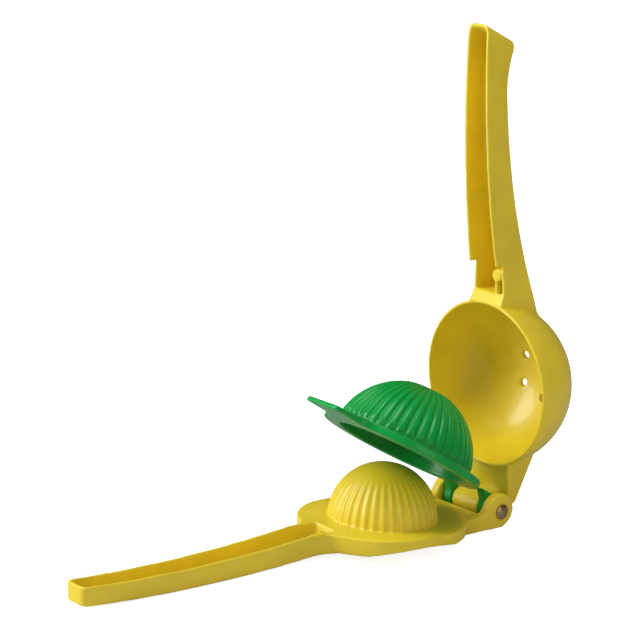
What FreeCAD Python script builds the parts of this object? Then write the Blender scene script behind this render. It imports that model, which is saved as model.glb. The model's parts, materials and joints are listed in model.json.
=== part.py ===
# Hinged lemon squeezer: two cast arms and a ribbed inner cup that turn on one riveted pin.
#
# Row frame: millimetres, +Z up. The origin is the middle of the footprint, on the table.
# The pin lies along Y, at +X. The press arm's handle reaches towards -X and lies on the table.
# Each casting is drawn closed, with the pin's middle as its own origin, "reach" as the distance
# from the pin along its handle and "height" as the distance above the pin. Its Placement then
# stands it on the pin and turns it about Y to the angle that it rests at.
import FreeCAD, Part
import math
import os
import Sketcher

Vector = FreeCAD.Vector
doc = FreeCAD.newDocument("lemon_squeezer")

# Driving dimensions, in millimetres and degrees
SIZES = [
    ("centre_reach", 53.4, "pin axis to the common centre of dome, cup and bowl"),
    ("pin_height", 7.0, "pin axis above the table"),
    ("cup_angle", 31.63, "rest angle of the inner cup above the press arm"),
    ("bowl_angle", 86.93, "rest angle of the bowl arm above the press arm"),
    ("pin_diameter", 5.0, "shaft of the pin"),
    ("running_clearance", 0.06, "radial clearance of the pin in the barrel and the ears"),
    ("seat_clearance", 0.02, "radial clearance of the pin in the lugs that hold it"),
    ("head_diameter", 6.6, "rivet head of the pin"),
    ("head_dome", 1.0, "rise of the rivet head's dome"),
    ("head_recess", 0.7, "depth of the recess that the head sits in"),
    ("recess_clearance", 0.5, "radial gap round the head in its recess"),
    ("barrel_width", 16.4, "barrel of the bowl arm along the pin"),
    ("barrel_radius", 5.6, "outer radius of the barrel"),
    ("ear_width", 5.3, "one ear of the cup along the pin"),
    ("ear_radius", 6.0, "round end of an ear"),
    ("ear_slope", 2.4, "where an ear's underside reaches the flange, past its round end"),
    ("ear_waist", 0.4, "where that slope leaves the round end, inside it"),
    ("lug_width", 4.9, "one lug of the press arm along the pin"),
    ("lug_radius", 7.6, "round end of a lug"),
    ("lug_lift", 0.6, "lug's round centre above the pin axis"),
    ("lug_inset", 1.0, "lug's round centre inboard of the pin axis"),
    ("side_gap", 0.3, "gap between neighbours along the pin"),
    ("bar_top", 0.2, "top of the bars that carry the lugs, above the pin axis"),
    ("web_reach", 8.0, "end of the web between the bars, clear of the barrel"),
    ("web_top", -1.0, "top of that web"),
    ("plate_radius", 33.7, "round ends of the press plate"),
    ("plate_stretch", 4.0, "each round end from the common centre, along the handle"),
    ("plate_hinge_top", 0.9, "top of the sloping press plate at its hinge end, above the pin axis"),
    ("plate_handle_top", 4.1, "top of that plate at its handle end"),
    ("plate_under", -3.8, "underside of the press plate at both ends"),
    ("arch_start", 39.7, "near end of the shallow arch under the plate"),
    ("arch_end", 80.3, "far end of that arch"),
    ("arch_bend", 95.0, "radius of that arch"),
    ("arch_height", -1.6, "crown of that arch above the pin axis"),
    ("dome_radius", 23.8, "press dome"),
    ("dome_centre", 2.65, "dome's centre above the pin axis"),
    ("dome_wall", 2.6, "wall of the hollow dome"),
    ("flute_count", 36, "flutes round the dome"),
    ("flute_radius", 1.7, "section of one flute"),
    ("flute_depth", 0.55, "depth of a flute at the foot of the dome"),
    ("flute_top", 60.0, "latitude where a flute runs out"),
    ("groove_overrun", 6.0, "how far a groove's cut runs past that latitude, clear of the dome"),
    ("wall", 1.8, "side wall of both handles"),
    ("tip_corner", 3.0, "rounding of the handles' end corners"),
    ("floor", 2.4, "web of both handles"),
    ("press_tip", 210.5, "reach of the press handle's end"),
    ("press_tip_rake", 1.0, "end face of the press handle, undercut towards the table"),
    ("press_root_width", 16.8, "press handle beside the plate"),
    ("press_tip_width", 12.6, "press handle at its end"),
    ("press_rim_reach", 99.0, "where the press handle's rim starts"),
    ("press_rim_height", 4.4, "rim height there"),
    ("press_tip_height", 3.5, "rim height at the end"),
    ("press_rim_bend", 720.0, "radius of the rim's sag"),
    ("press_under_reach", 96.0, "where the handle's belly starts"),
    ("press_under_height", -4.45, "underside there"),
    ("press_tip_under", -4.1, "underside at the end"),
    ("press_belly_bend", 608.0, "radius of the belly"),
    ("channel_start", 92.0, "where the press handle's channel starts"),
    ("mouth_height", 6.1, "bowl's mouth plane above the pin axis when closed"),
    ("bowl_radius", 36.0, "inside of the bowl at its mouth"),
    ("bowl_depth", 34.4, "inside of the bowl from mouth to pole"),
    ("bowl_lip", 2.2, "lip of the bowl"),
    ("bowl_wall", 2.6, "bowl's wall at its pole"),
    ("hole_count", 5, "juice holes"),
    ("hole_diameter", 3.6, "one juice hole"),
    ("hole_ring", 11.2, "radius of the ring of juice holes"),
    ("hole_turn", 51.5, "first juice hole, turned from the handle's direction"),
    ("bowl_tip", 213.0, "reach of the bowl handle's end"),
    ("bowl_root_width", 17.0, "bowl handle beside the bowl"),
    ("bowl_tip_width", 12.6, "bowl handle at its end"),
    ("bowl_tip_height", 1.0, "rim height at the end"),
    ("bowl_rim_bend", 529.0, "radius of the rim's sag"),
    ("land_foot", 90.5, "where the sloping land beyond the mouth starts"),
    ("land_reach", 95.0, "end of that land, at the notch's floor"),
    ("land_flare", 14.0, "hollow curve from the land to the handle"),
    ("land_width", 24.0, "land where it leaves the lip"),
    ("land_spread", 6.0, "further half width of the land inside the bowl"),
    ("land_start", 3.0, "how far inside the bowl's mouth the land's curve starts"),
    ("land_step", 4.0, "where that curve meets the handle, past the land"),
    ("end_web", 2.0, "further thickness of the bowl handle's end wall"),
    ("notch_reach", 107.8, "end of the notch that clears the cup's tab"),
    ("notch_height", 8.4, "floor of the notch"),
    ("notch_rim_height", 4.6, "rim height where the notch ends"),
    ("back_root_reach", 84.0, "where the handle's back leaves the bowl"),
    ("back_root_height", 29.0, "height of the back there"),
    ("back_bend", 312.0, "radius of the back's sweep"),
    ("hook_reach", 184.0, "where the hook at the end starts"),
    ("hook_height", 12.1, "height of the back there"),
    ("hook_bend", 45.0, "radius of the hook"),
    ("hook_tip_reach", 204.4, "point of the hook"),
    ("hook_tip_height", 17.0, "height of the point"),
    ("neck_front", 8.0, "front of the neck above the pin axis"),
    ("neck_front_bend", 3.0, "rounding of the neck's end at its front"),
    ("neck_back_bend", 2.5, "rounding of the neck's end at its back"),
    ("neck_root", 4.0, "rise of the neck's back inside the bowl"),
    ("neck_end", -0.8, "reach of the neck's round end"),
    ("neck_end_height", 14.8, "back of the neck at its round end"),
    ("neck_back_reach", 18.8, "where the neck's back meets the bowl"),
    ("neck_back_height", 23.2, "height of the back there"),
    ("boss_diameter", 6.6, "cast boss at the root of each channel"),
    ("boss_offset", 4.6, "boss from the handle's middle plane, towards -Y"),
    ("bowl_boss_reach", 103.3, "boss in the bowl handle"),
    ("bowl_boss_height", 8.0, "face of that boss above the pin axis"),
    ("boss_rib", 1.6, "rib from the boss to the land"),
    ("bowl_boss_depth", 12.9, "length of that boss, up into the handle's web"),
    ("press_boss_reach", 97.0, "boss in the press handle"),
    ("press_boss_height", 1.4, "top of that boss above the pin axis"),
    ("press_boss_shift", 1.0, "that boss, back towards the middle plane"),
    ("cup_radius", 31.5, "outside of the cup over its ribs"),
    ("cup_centre", 1.5, "centre of the cup's dome above the pin axis"),
    ("cup_wall", 2.4, "wall of the cup"),
    ("rib_count", 42, "ribs round the cup"),
    ("rib_groove", 0.9, "section of the groove between two ribs"),
    ("rib_depth", 0.75, "depth of a groove at the flange"),
    ("rib_top", 76.0, "latitude where a groove runs out"),
    ("flange_radius", 36.7, "flange of the cup"),
    ("flange_under", 2.0, "underside of the flange above the pin axis"),
    ("flange_thickness", 3.4, "flange"),
    ("flange_round", 0.8, "rounding of the flange's edges"),
    ("tab_tip", 107.0, "reach of the finger tab's end"),
    ("tab_width", 19.0, "finger tab"),
    ("tab_thickness", 3.0, "finger tab"),
    ("tab_flare", 9.0, "hollow curve between tab and flange"),
    ("tab_flare_bend", 10.0, "radius of that curve"),
    ("tab_flare_start", 4.0, "start of that curve inside the flange's edge"),
    ("tab_corner", 3.0, "rounding of the tab's corners"),
]

sheet = doc.addObject("Spreadsheet::Sheet", "Sizes")
for row, (alias, value, meaning) in enumerate(SIZES, start=1):
    sheet.set("A%d" % row, meaning)
    sheet.set("B%d" % row, str(value))
    sheet.setAlias("B%d" % row, alias)
doc.recompute()

# A sketch's x is the reach and its y the height (side view) or the sideways distance (plan view)
SIDE = FreeCAD.Rotation(Vector(0, 1, 1), 180)
PLAN = FreeCAD.Rotation(Vector(0, 0, 1), 180)
LEFT = 1
RIGHT = -1
GROOVE_FOOT = 4.0

# Slabs and cutting blocks that only have to be bigger than what they cross
WIDE = "160"
THICK = "60"
FAR = "30"
OVERLAP = "1"


def size(expression):
    """Value of an expression on the sheet's aliases, in millimetres or degrees."""
    result = sheet.evalExpression(expression)
    return float(getattr(result, "Value", result))


def bind(obj, **expressions):
    """Bind properties of an object to expressions on the sheet; __ stands for a dot."""
    for name, expression in expressions.items():
        obj.setExpression(name.replace("__", "."), in_sheet(expression))
    return obj


def in_sheet(expression):
    """The same expression with each alias prefixed by the sheet's name."""
    words = []
    word = ""
    for letter in expression + " ":
        if letter.isalnum() or letter == "_":
            word += letter
        else:
            words.append("Sizes." + word if word in ALIASES else word)
            words.append(letter)
            word = ""
    return "".join(words).strip()


ALIASES = {alias for alias, value, meaning in SIZES}


def arc_between(start, end, radius, turn):
    """Sketch arc from start to end, its centre on the given side of that direction."""
    chord = end - start
    middle = (start + end) * 0.5
    left = Vector(-chord.y, chord.x, 0).normalize()
    rise = math.sqrt(max(radius * radius - chord.Length ** 2 / 4, 0.0))
    centre = middle + left * (rise * turn)
    first, last = (start, end) if turn == LEFT else (end, start)
    angles = [math.atan2(p.y - centre.y, p.x - centre.x) for p in (first, last)]
    circle = Part.Circle(centre, Vector(0, 0, 1), radius)
    return Part.ArcOfCircle(circle, angles[0], angles[1])


def draw(sketch, corners, bends=()):
    """Closed outline through corners, given as pairs of expressions.

    bends holds (index of the corner that an arc starts at, radius, side of its centre).
    """
    places = [Vector(size(x), size(y), 0) for x, y in corners]
    bends = {index: (radius, turn) for index, radius, turn in bends}
    ends = []
    for index, start in enumerate(places):
        end = places[(index + 1) % len(places)]
        if index in bends:
            radius, turn = bends[index]
            edge = sketch.addGeometry(arc_between(start, end, size(radius), turn), False)
            ends.append((edge, 1, 2) if turn == LEFT else (edge, 2, 1))
            sketch.addConstraint(Sketcher.Constraint("Radius", edge, size(radius)))
            name_last(sketch, "bend%d" % index, radius)
        else:
            edge = sketch.addGeometry(Part.LineSegment(start, end), False)
            ends.append((edge, 1, 2))
    for index, (x, y) in enumerate(corners):
        edge, first, last = ends[index]
        before = ends[index - 1]
        sketch.addConstraint(Sketcher.Constraint("Coincident", before[0], before[2], edge, first))
        for kind, expression in (("DistanceX", x), ("DistanceY", y)):
            sketch.addConstraint(Sketcher.Constraint(kind, -1, 1, edge, first, size(expression)))
            name_last(sketch, "%s%d" % (kind, index), expression)
    return sketch


def name_last(sketch, name, expression):
    """Name the newest constraint and bind it to the sheet."""
    sketch.renameConstraint(sketch.ConstraintCount - 1, name)
    sketch.setExpression("Constraints." + name, in_sheet(expression))


def outline(name, turn, corners, bends=()):
    """Free-standing sketch in the side or the plan view."""
    sketch = doc.addObject("Sketcher::SketchObject", name)
    sketch.Placement = FreeCAD.Placement(Vector(0, 0, 0), turn)
    return draw(sketch, corners, bends)


def slab(name, sketch, thickness):
    """Solid of an outline, as thick as given and centred on its plane."""
    solid = doc.addObject("Part::Extrusion", name)
    solid.Base = sketch
    solid.DirMode = "Normal"
    solid.Solid = True
    solid.Symmetric = True
    return bind(solid, LengthFwd=thickness)


def joined(name, *parts):
    """Union of several solids."""
    solid = doc.addObject("Part::MultiFuse", name)
    solid.Shapes = list(parts)
    solid.Refine = True
    return solid


def common(name, *parts):
    """Space that all the solids share."""
    solid = doc.addObject("Part::MultiCommon", name)
    solid.Shapes = list(parts)
    return solid


def cut(name, base, tool):
    """Solid less another one."""
    solid = doc.addObject("Part::Cut", name)
    solid.Base = base
    solid.Tool = tool
    return solid


def cross_cylinder(name, radius, length, reach="0", height="0", offset="0"):
    """Cylinder along the pin's direction, centred at the given place."""
    solid = doc.addObject("Part::Cylinder", name)
    solid.Placement = FreeCAD.Placement(Vector(0, 0, 0), FreeCAD.Rotation(Vector(1, 0, 0), -90))
    return bind(solid, Radius=radius, Height=length, Placement__Base__x="-(%s)" % reach,
                Placement__Base__y="%s-(%s)/2" % (offset, length), Placement__Base__z=height)


def upright_cylinder(name, radius, low, high, reach, offset="0"):
    """Cylinder square to the handle's length, from the lower height to the higher one."""
    solid = doc.addObject("Part::Cylinder", name)
    return bind(solid, Radius=radius, Height="(%s)-(%s)" % (high, low), Placement__Base__x="-(%s)" % reach,
                Placement__Base__y=offset, Placement__Base__z=low)


def block(name, reach, height, side):
    """Box between two reaches, two heights and two sideways distances."""
    solid = doc.addObject("Part::Box", name)
    return bind(solid, Length="(%s)-(%s)" % (reach[1], reach[0]), Width="(%s)-(%s)" % (side[1], side[0]),
                Height="(%s)-(%s)" % (height[1], height[0]), Placement__Base__x="-(%s)" % reach[1],
                Placement__Base__y=side[0], Placement__Base__z=height[0])


def plane_sketch(body, name, role, height="0"):
    """Sketch in a body, on an origin plane, with its own origin at the common centre."""
    sketch = body.newObject("Sketcher::SketchObject", name)
    plane = [p for p in body.Origin.OriginFeatures if p.Role == role][0]
    sketch.AttachmentSupport = [(plane, "")]
    sketch.MapMode = "FlatFace"
    sketch.setExpression("AttachmentOffset.Base.x", in_sheet("-centre_reach"))
    if role == "XY_Plane":
        sketch.setExpression("AttachmentOffset.Base.z", in_sheet(height))
    return sketch


def fluted_dome(name, corners, bends, radius, centre, groove, depth, top, count):
    """Turned body with grooves that climb its dome and run out at the given latitude."""
    body = doc.addObject("PartDesign::Body", name)
    profile = draw(plane_sketch(body, name + "_profile", "XZ_Plane"), corners, bends)
    turned = body.newObject("PartDesign::Revolution", name + "_turned")
    turned.Profile = profile
    turned.ReferenceAxis = (profile, ["V_Axis"])
    turned.Angle = 360
    doc.recompute()
    # The groove's own centre lies above the dome's, so the groove rises out of the dome
    shift = "(%s)/sin(%s * 1deg)" % (depth, top)
    section = plane_sketch(body, name + "_groove_section", "XY_Plane", "(%s)+%s" % (centre, shift))
    path = "(%s)+(%s)-(%s)" % (radius, groove, depth)
    ring = sketch_circle(section, path, groove)
    groove_cut = body.newObject("PartDesign::Groove", name + "_groove")
    groove_cut.Profile = ring
    groove_cut.ReferenceAxis = (ring, ["V_Axis"])
    groove_cut.Type = "TwoAngles"
    groove_cut.Reversed = True
    bind(groove_cut, Angle="(%s) + groove_overrun" % top)
    groove_cut.Angle2 = GROOVE_FOOT
    doc.recompute()
    pattern = body.newObject("PartDesign::PolarPattern", name + "_grooves")
    pattern.Originals = [groove_cut]
    pattern.Axis = (profile, ["V_Axis"])
    pattern.Angle = 360
    bind(pattern, Occurrences=count)
    body.Tip = pattern
    return body


def sketch_circle(sketch, reach, radius):
    """Circle on a sketch's x axis."""
    centre = Vector(size(reach), 0, 0)
    ring = sketch.addGeometry(Part.Circle(centre, Vector(0, 0, 1), size(radius)), False)
    sketch.addConstraint(Sketcher.Constraint("DistanceX", -1, 1, ring, 3, size(reach)))
    name_last(sketch, "reach", reach)
    sketch.addConstraint(Sketcher.Constraint("PointOnObject", ring, 3, -1))
    sketch.addConstraint(Sketcher.Constraint("Radius", ring, size(radius)))
    name_last(sketch, "radius", radius)
    return sketch


def place(solid, label, angle="0"):
    """Name a finished piece, stand it on the pin's place and turn it about the pin."""
    solid.Label = label
    solid.Placement = FreeCAD.Placement(Vector(0, 0, 0), FreeCAD.Rotation(Vector(0, 1, 0), 1))
    return bind(solid, Placement__Rotation__Angle=angle, Placement__Base__x=PIN_PLACE,
                Placement__Base__z="pin_height")


# Places along the pin that the three castings share
EAR_INNER = "(barrel_width/2 + side_gap)"
EAR_OUTER = "(%s + ear_width)" % EAR_INNER
LUG_INNER = "(%s + side_gap)" % EAR_OUTER
LUG_OUTER = "(%s + lug_width)" % LUG_INNER
FLANGE_TOP = "(flange_under + flange_thickness)"
HEAD_BALL = "((head_diameter/2)^2 + head_dome^2)/(2*head_dome)"

# How far the resting bowl's back stands beyond the pin, so that the footprint is centred on X
BOWL_LEAN = "mouth_height*sin(bowl_angle*1deg) - centre_reach*cos(bowl_angle*1deg)"
BOWL_SPREAD = ("sqrt(((bowl_radius + bowl_lip)*cos(bowl_angle*1deg))^2"
               " + ((bowl_depth + bowl_wall)*sin(bowl_angle*1deg))^2)")
PIN_PLACE = "(press_tip - (%s) - %s)/2" % (BOWL_LEAN, BOWL_SPREAD)


def channel_handle(name, side_corners, side_bends, plan_corners, plan_bends, hollow_corners,
                   hollow_bends, hollow_plan):
    """Open channel: a side outline and a plan outline crossed, less a smaller pair."""
    outer = common(name + "_block",
                   slab(name + "_side", outline(name + "_side_line", SIDE, side_corners, side_bends), THICK),
                   slab(name + "_plan", outline(name + "_plan_line", PLAN, plan_corners, plan_bends), WIDE))
    inner = common(name + "_hollow",
                   slab(name + "_in", outline(name + "_in_line", SIDE, hollow_corners, hollow_bends), THICK),
                   slab(name + "_inplan", outline(name + "_inplan_line", PLAN, hollow_plan), WIDE))
    return outer, inner


def press_arm():
    """Press arm: plate, fluted hollow dome, hinge lugs and open channel handle in one casting."""
    under = "-pin_height"
    plate_start = "(centre_reach - plate_stretch - plate_radius)"
    plate_edge = "(centre_reach + plate_stretch + plate_radius)"
    turned = fluted_dome(
        "press_dome",
        [("0", "arch_height"), ("dome_radius", "arch_height"), ("dome_radius", "dome_centre"),
         ("0", "dome_centre + dome_radius")],
        [(2, "dome_radius", LEFT)],
        "dome_radius", "dome_centre", "flute_radius", "flute_depth", "flute_top", "flute_count")
    ends = [upright_cylinder("press_plate_end_%d" % number, "plate_radius", "-pin_height", "pin_height",
                             "centre_reach + %s*plate_stretch" % side)
            for number, side in ((1, "-1"), (2, "1"))]
    middle = block("press_plate_middle", ("centre_reach - plate_stretch", "centre_reach + plate_stretch"),
                   ("-pin_height", "pin_height"), ("-plate_radius", "plate_radius"))
    arched = slab("press_plate_side", outline(
        "press_plate_line", SIDE,
        [(plate_start, "plate_under"), ("arch_start", "plate_under"), ("arch_end", "plate_under"),
         (plate_edge, "plate_under"), (plate_edge, "plate_handle_top"), (plate_start, "plate_hinge_top")],
        [(1, "arch_bend", RIGHT)]), WIDE)
    plate = common("press_plate", joined("press_plate_form", *ends, middle), arched)
    root = "(centre_reach + dome_radius)"
    slope = "(plate_handle_top - plate_hinge_top)/(%s - %s)" % (plate_edge, plate_start)
    root_top = "plate_hinge_top + (%s - %s)*%s" % (root, plate_start, slope)
    outer, inner = channel_handle(
        "press_handle",
        [(root, root_top), (root, "press_under_height"), ("press_under_reach", "press_under_height"),
         ("press_tip - press_tip_rake", "press_tip_under"), ("press_tip", "press_tip_height"),
         ("press_rim_reach", "press_rim_height")],
        [(2, "press_belly_bend", LEFT), (4, "press_rim_bend", RIGHT)],
        [(root, "-press_root_width/2"), (plate_edge, "-press_root_width/2"),
         ("press_tip - tip_corner", "-press_tip_width/2"), ("press_tip", "-press_tip_width/2 + tip_corner"),
         ("press_tip", "press_tip_width/2 - tip_corner"), ("press_tip - tip_corner", "press_tip_width/2"),
         (plate_edge, "press_root_width/2"), (root, "press_root_width/2")],
        [(2, "tip_corner", LEFT), (4, "tip_corner", LEFT)],
        [(root, FAR), (root, "press_under_height + floor"),
         ("press_under_reach", "press_under_height + floor"),
         ("press_tip - press_tip_rake", "press_tip_under + floor"), ("press_tip - press_tip_rake", FAR)],
        [(2, "press_belly_bend - floor", LEFT)],
        [("channel_start", "-press_root_width/2 + wall"), ("press_tip - wall", "-press_tip_width/2 + wall"),
         ("press_tip - wall", "press_tip_width/2 - wall"), ("channel_start", "press_root_width/2 - wall")])
    lug = joined(
        "press_lug_form",
        cross_cylinder("press_lug_round", "lug_radius", "2*" + LUG_OUTER, "lug_inset", "lug_lift"),
        block("press_bar", ("lug_inset", "centre_reach - dome_radius"), (under, "bar_top"),
              ("-" + LUG_OUTER, LUG_OUTER)))
    gap = block("press_lug_gap", ("-" + FAR, "centre_reach - dome_radius"), ("-" + FAR, FAR),
                ("-" + LUG_INNER, LUG_INNER))
    lugs = cut("press_lugs", lug, gap)
    web = block("press_web", ("web_reach", "centre_reach - dome_radius"), (under, "web_top"),
                ("-" + LUG_INNER, LUG_INNER))
    channelled = cut("press_channel", outer, inner)
    boss = upright_cylinder("press_boss", "boss_diameter/2", "press_under_height + floor - " + OVERLAP,
                            "press_boss_height", "press_boss_reach", "press_boss_shift - boss_offset")
    solid = joined("press_solid", turned, plate, channelled, lugs, web, boss)
    hollow = doc.addObject("Part::Sphere", "press_hollow")
    bind(hollow, Radius="dome_radius - dome_wall", Placement__Base__x="-centre_reach",
         Placement__Base__z="dome_centre")
    well = upright_cylinder("press_well", "dome_radius - dome_wall", "-pin_height - " + OVERLAP,
                            "dome_centre", "centre_reach")
    bore = cross_cylinder("press_bore", "pin_diameter/2 + seat_clearance", "4*" + LUG_OUTER)
    recess = "head_diameter/2 + recess_clearance"
    near = cross_cylinder("press_recess_near", recess, "2*head_recess", offset="-" + LUG_OUTER)
    far = cross_cylinder("press_recess_far", recess, "2*head_recess", offset=LUG_OUTER)
    return place(cut("press_arm", solid, joined("press_cuts", hollow, well, bore, near, far)), "press_arm")


def half_ellipsoid(name, depth, radius):
    """Half an ellipsoid on the mouth plane, its pole upwards."""
    solid = doc.addObject("Part::Ellipsoid", name)
    solid.Angle1 = 0
    solid.Angle2 = 90
    return bind(solid, Radius1=depth, Radius2=radius, Radius3=radius, Placement__Base__x="-centre_reach",
                Placement__Base__z="mouth_height")


def bowl_arm():
    """Bowl arm: bowl with juice holes, neck, hinge barrel and open channel handle in one casting."""
    shell = half_ellipsoid("bowl_outside", "bowl_depth + bowl_wall", "bowl_radius + bowl_lip")
    cavity = half_ellipsoid("bowl_inside", "bowl_depth", "bowl_radius")
    root = "centre_reach + bowl_radius/2"
    outer, inner = channel_handle(
        "bowl_handle",
        [(root, "mouth_height"), ("land_foot", "mouth_height"), ("land_reach", "notch_height"),
         ("notch_reach", "notch_height"), ("notch_reach", "notch_rim_height"),
         ("bowl_tip", "bowl_tip_height"),
         ("hook_tip_reach", "hook_tip_height"), ("hook_reach", "hook_height"),
         ("back_root_reach", "back_root_height"), (root, "back_root_height")],
        [(4, "bowl_rim_bend", LEFT), (6, "hook_bend", RIGHT), (7, "back_bend", RIGHT)],
        [(root, "-land_width/2 - land_spread"), ("centre_reach + bowl_radius - land_start", "-land_width/2"),
         ("land_reach + land_step", "-bowl_root_width/2"), ("bowl_tip - tip_corner", "-bowl_tip_width/2"),
         ("bowl_tip", "-bowl_tip_width/2 + tip_corner"), ("bowl_tip", "bowl_tip_width/2 - tip_corner"),
         ("bowl_tip - tip_corner", "bowl_tip_width/2"), ("land_reach + land_step", "bowl_root_width/2"),
         ("centre_reach + bowl_radius - land_start", "land_width/2"), (root, "land_width/2 + land_spread")],
        [(1, "land_flare", RIGHT), (3, "tip_corner", LEFT), (5, "tip_corner", LEFT),
         (7, "land_flare", RIGHT)],
        [(root, "-" + FAR), ("bowl_tip", "-" + FAR), ("bowl_tip", "bowl_tip_height"),
         ("hook_tip_reach", "hook_tip_height - floor"), ("hook_reach", "hook_height - floor"),
         ("back_root_reach", "back_root_height - floor"), (root, "back_root_height - floor")],
        [(3, "hook_bend + floor", RIGHT), (4, "back_bend + floor", RIGHT)],
        [("land_reach", "-bowl_root_width/2 + wall"),
         ("bowl_tip - wall - end_web", "-bowl_tip_width/2 + wall"),
         ("bowl_tip - wall - end_web", "bowl_tip_width/2 - wall"),
         ("land_reach", "bowl_root_width/2 - wall")])
    boss_end = "bowl_boss_height + bowl_boss_depth"
    boss = joined(
        "bowl_boss",
        upright_cylinder("bowl_boss_round", "boss_diameter/2", "bowl_boss_height", boss_end,
                         "bowl_boss_reach", "-boss_offset"),
        block("bowl_boss_rib", ("land_reach - " + OVERLAP, "bowl_boss_reach"), ("bowl_boss_height", boss_end),
              ("-boss_offset - boss_rib/2", "-boss_offset + boss_rib/2")))
    channelled = joined("bowl_channel", cut("bowl_channel_cut", outer, inner), boss)
    neck = slab("bowl_neck", outline(
        "bowl_neck_line", SIDE,
        [("centre_reach - bowl_radius/2", "neck_front"), ("neck_end + neck_front_bend", "neck_front"),
         ("neck_end", "neck_front + neck_front_bend"), ("neck_end", "neck_end_height - neck_back_bend"),
         ("neck_end + neck_back_bend", "neck_end_height"), ("neck_back_reach", "neck_back_height"),
         ("centre_reach - bowl_radius/2", "neck_back_height + neck_root")],
        [(1, "neck_front_bend", RIGHT), (3, "neck_back_bend", RIGHT)]), "2*" + EAR_OUTER)
    barrel = joined(
        "bowl_barrel",
        cross_cylinder("bowl_barrel_round", "barrel_radius", "barrel_width"),
        block("bowl_barrel_web", ("-barrel_radius/2", "barrel_radius"), ("0", "neck_front + neck_front_bend"),
              ("-barrel_width/2", "barrel_width/2")))
    solid = joined("bowl_solid", shell, channelled, neck, barrel)
    holes = []
    for number in range(int(size("hole_count"))):
        turn = "(hole_turn + %d*360/hole_count) * 1deg" % number
        holes.append(upright_cylinder(
            "juice_hole_%d" % (number + 1), "hole_diameter/2", "mouth_height", "mouth_height + 2*bowl_depth",
            "centre_reach + hole_ring*cos(%s)" % turn, "hole_ring*sin(%s)" % turn))
    bore = cross_cylinder("bowl_bore", "pin_diameter/2 + running_clearance", "2*barrel_width")
    return place(cut("bowl_arm", solid, joined("bowl_cuts", cavity, bore, *holes)), "bowl_arm", "bowl_angle")


def inner_cup():
    """Inner cup: ribbed dome, flange, finger tab and two hinge ears."""
    turned = fluted_dome(
        "cup_dome",
        [("0", "flange_under"), ("flange_radius - flange_round", "flange_under"),
         ("flange_radius", "flange_under + flange_round"), ("flange_radius", FLANGE_TOP + " - flange_round"),
         ("flange_radius - flange_round", FLANGE_TOP),
         ("sqrt(cup_radius^2 - (%s - cup_centre)^2)" % FLANGE_TOP, FLANGE_TOP),
         ("0", "cup_centre + cup_radius")],
        [(1, "flange_round", LEFT), (3, "flange_round", LEFT), (5, "cup_radius", LEFT)],
        "cup_radius", "cup_centre", "rib_groove", "rib_depth", "rib_top", "rib_count")
    rim = "centre_reach + flange_radius"
    tab = slab("cup_tab", outline(
        "cup_tab_line", PLAN,
        [("centre_reach + cup_radius", "-tab_width/2 - tab_flare"),
         (rim + " - tab_flare_start", "-tab_width/2 - tab_flare/2"),
         (rim + " + tab_flare/2", "-tab_width/2"), ("tab_tip - tab_corner", "-tab_width/2"),
         ("tab_tip", "-tab_width/2 + tab_corner"), ("tab_tip", "tab_width/2 - tab_corner"),
         ("tab_tip - tab_corner", "tab_width/2"), (rim + " + tab_flare/2", "tab_width/2"),
         (rim + " - tab_flare_start", "tab_width/2 + tab_flare/2"),
         ("centre_reach + cup_radius", "tab_width/2 + tab_flare")],
        [(1, "tab_flare_bend", RIGHT), (3, "tab_corner", LEFT), (5, "tab_corner", LEFT),
         (7, "tab_flare_bend", RIGHT)]), "tab_thickness")
    bind(tab, Placement__Base__z="flange_under + tab_thickness/2")
    ear = joined(
        "cup_ear_form",
        cross_cylinder("cup_ear_round", "ear_radius", "2*" + EAR_OUTER),
        slab("cup_ear_arm", outline(
            "cup_ear_line", SIDE,
            [("0", "0"), ("ear_radius - ear_waist", "0"), ("ear_radius + ear_slope", "flange_under"),
             ("centre_reach - cup_radius", "flange_under"), ("centre_reach - cup_radius", FLANGE_TOP),
             ("0", FLANGE_TOP)]), "2*" + EAR_OUTER))
    gap = block("cup_ear_gap", ("-" + FAR, "centre_reach - flange_radius"), ("-" + FAR, FAR),
                ("-" + EAR_INNER, EAR_INNER))
    solid = joined("cup_solid", turned, tab, cut("cup_ears", ear, gap))
    hollow = doc.addObject("Part::Sphere", "cup_hollow")
    bind(hollow, Radius="cup_radius - cup_wall", Placement__Base__x="-centre_reach",
         Placement__Base__z="cup_centre")
    bore = cross_cylinder("cup_bore", "pin_diameter/2 + running_clearance", "4*" + EAR_OUTER)
    return place(cut("inner_cup", solid, joined("cup_cuts", hollow, bore)), "inner_cup", "cup_angle")


def hinge_pin():
    """Riveted hinge pin: a shaft with a domed head at each end."""
    face = LUG_OUTER + " - head_recess"
    profile = outline(
        "pin_line", FreeCAD.Rotation(),
        [("0", "-(%s) - head_recess - head_dome" % face), ("head_diameter/2", "-(%s) - head_recess" % face),
         ("head_diameter/2", "-(%s)" % face), ("pin_diameter/2", "-(%s)" % face),
         ("pin_diameter/2", face), ("head_diameter/2", face), ("head_diameter/2", face + " + head_recess"),
         ("0", face + " + head_recess + head_dome")],
        [(0, HEAD_BALL, LEFT), (6, HEAD_BALL, LEFT)])
    pin = doc.addObject("Part::Revolution", "hinge_pin")
    pin.Source = profile
    pin.Axis = Vector(0, 1, 0)
    pin.Base = Vector(0, 0, 0)
    pin.Angle = 360
    pin.Solid = True
    return place(pin, "hinge_pin")


pieces = [press_arm(), inner_cup(), bowl_arm(), hinge_pin()]
doc.recompute()

for obj in doc.Objects:
    if "Invalid" in obj.State or "Error" in obj.State:
        raise RuntimeError("%s did not build: %s" % (obj.Name, obj.State))
for piece in pieces:
    shape = piece.Shape
    if shape.isNull() or not shape.isValid() or len(shape.Solids) != 1:
        raise RuntimeError("%s is not one sound solid" % piece.Label)

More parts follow.
